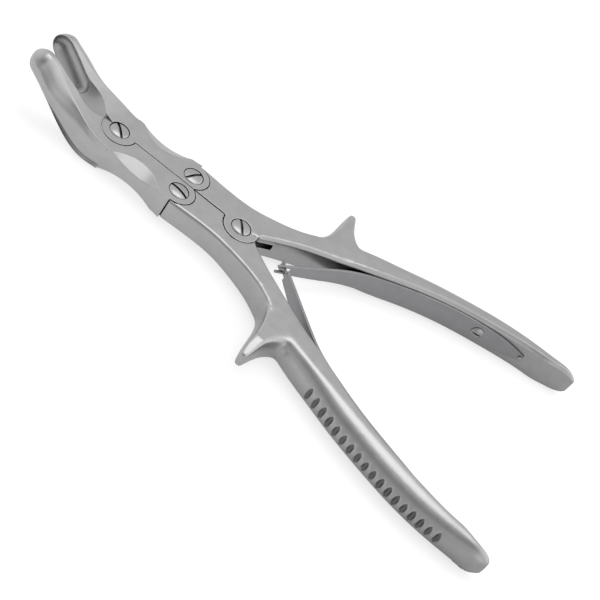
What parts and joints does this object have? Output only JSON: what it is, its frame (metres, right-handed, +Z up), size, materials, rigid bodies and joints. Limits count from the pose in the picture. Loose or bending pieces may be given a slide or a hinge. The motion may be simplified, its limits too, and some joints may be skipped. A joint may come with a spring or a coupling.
{
  "type": "bone rongeur",
  "caption": "Double-action bone rongeur: cupped jaws bent upward on a pivoting link train, bowed grips with finger spurs and cross grooves, opened by interlocking leaf springs.",
  "frame": {"origin": "under the middle of the open tool, at the level of the surface it lies on; the handle pivot is 24 mm along +X", "axes": "+X runs from the grip ends to the jaw tips, +Y to the left handle, +Z up through the screw heads"},
  "size_m": [0.2648, 0.1312, 0.0291],
  "materials": {
    "satin_steel": "satin, finely ground",
    "screw_steel": "satin, turned",
    "spring_steel": "smooth, rolled"
  },
  "bodies": {
    "left_handle": {"left_handle": "satin_steel", "left_link_screw": "screw_steel", "handle_pivot_screw": "screw_steel", "left_leaf_spring": "spring_steel", "left_spring_screw": "screw_steel", "left_spring_peg": "screw_steel"},
    "right_handle": {"right_handle": "satin_steel", "right_link_screw": "screw_steel", "right_leaf_spring": "spring_steel", "right_spring_screw": "screw_steel", "right_spring_peg": "screw_steel"},
    "left_jaw": {"left_jaw": "satin_steel", "jaw_pivot_screw": "screw_steel"},
    "right_jaw": {"right_jaw": "satin_steel"}
  },
  "joints": [
    {"name": "handle_pivot", "type": "hinge", "parent": "left_handle", "child": "right_handle", "pos_m": [0.024, 0, 0.0077], "axis": [0, 0, -1], "range_deg": [0, 23.3], "stiffness_Nm_per_rad": 0.4, "springref_deg": -28.65, "deforming": ["left_leaf_spring", "right_leaf_spring"]},
    {"name": "left_link", "type": "hinge", "parent": "left_handle", "child": "left_jaw", "pos_m": [0.0529, 0.00645, 0.0077], "axis": [0, 0, -1], "range_deg": [0, 21.15]},
    {"name": "right_link", "type": "hinge", "parent": "right_handle", "child": "right_jaw", "pos_m": [0.0529, -0.00645, 0.0077], "axis": [0, 0, 1], "range_deg": [0, 21.15]}
  ],
  "couplings": [
    {"joint": "left_link", "follows": "handle_pivot", "ratio": 0.9077},
    {"joint": "right_link", "follows": "handle_pivot", "ratio": 0.9077}
  ]
}
